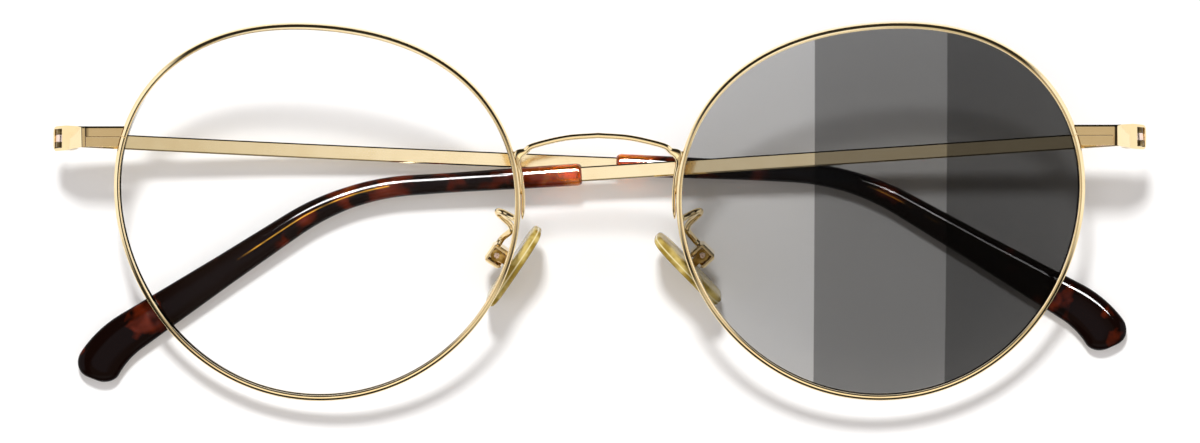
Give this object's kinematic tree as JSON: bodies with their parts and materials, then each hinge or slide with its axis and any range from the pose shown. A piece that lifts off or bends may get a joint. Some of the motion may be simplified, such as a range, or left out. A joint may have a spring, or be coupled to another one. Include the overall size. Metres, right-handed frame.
{
  "type": "computer glasses",
  "caption": "Folded round metal full-rim glasses with a wire bridge, nose pads, hinged bar temples with acetate tips, a clear lens and a lens with a banded grey tint.",
  "frame": {"origin": "on the table under the middle of the folded glasses", "axes": "+X to the wearer's left, along the front; +Y up as worn; +Z away from the table, out of the front of the glasses"},
  "size_m": [0.1412, 0.0482, 0.0186],
  "materials": {
    "gold_plate": "polished pale gold plate",
    "gold_screw": "turned and plated",
    "clear_lens": "clear resin lens",
    "grey_lens": "clear resin lens with grey tint in three bands",
    "tortoise_acetate": "polished tortoise acetate",
    "pad_silicone": "soft translucent silicone, yellowed"
  },
  "bodies": {
    "front": {"bridge": "gold_plate", "rim_right": "gold_plate", "rim_left": "gold_plate", "lens_right": "clear_lens", "lens_left": "grey_lens", "end_piece_right": "gold_plate", "end_piece_left": "gold_plate", "rim_lock_right": "gold_plate", "rim_lock_left": "gold_plate", "rim_screw_right": "gold_screw", "rim_screw_left": "gold_screw", "front_hinge_right": "gold_plate", "front_hinge_left": "gold_plate", "hinge_screw_right": "gold_screw", "hinge_screw_left": "gold_screw", "pad_arm_right": "gold_plate", "pad_arm_left": "gold_plate", "pad_box_right": "gold_plate", "pad_box_left": "gold_plate", "pad_screw_right": "gold_screw", "pad_screw_left": "gold_screw"},
    "temple_right": {"temple_hinge_right": "gold_plate", "temple_bar_right": "gold_plate", "temple_tip_right": "tortoise_acetate"},
    "temple_left": {"temple_hinge_left": "gold_plate", "temple_bar_left": "gold_plate", "temple_tip_left": "tortoise_acetate"},
    "pad_right": {"pad_core_right": "gold_plate", "nose_pad_right": "pad_silicone"},
    "pad_left": {"pad_core_left": "gold_plate", "nose_pad_left": "pad_silicone"}
  },
  "joints": [
    {"name": "temple_right_hinge", "type": "hinge", "parent": "front", "child": "temple_right", "pos_m": [-0.06932, 0.00975, 0.00743], "axis": [0.0419, 0.9991, 0], "range_deg": [0, 86]},
    {"name": "temple_left_hinge", "type": "hinge", "parent": "front", "child": "temple_left", "pos_m": [0.06932, 0.00975, 0.00936], "axis": [0.0611, -0.9981, 0], "range_deg": [0, 88]},
    {"name": "pad_right_rock", "type": "hinge", "parent": "front", "child": "pad_right", "pos_m": [-0.0132, -0.00516, 0.00514], "axis": [-0.0135, -0.2588, 0.9658], "range_deg": [-8, 8]},
    {"name": "pad_left_rock", "type": "hinge", "parent": "front", "child": "pad_left", "pos_m": [0.01339, -0.00516, 0.00551], "axis": [-0.0135, -0.2588, 0.9658], "range_deg": [-8, 8]}
  ]
}
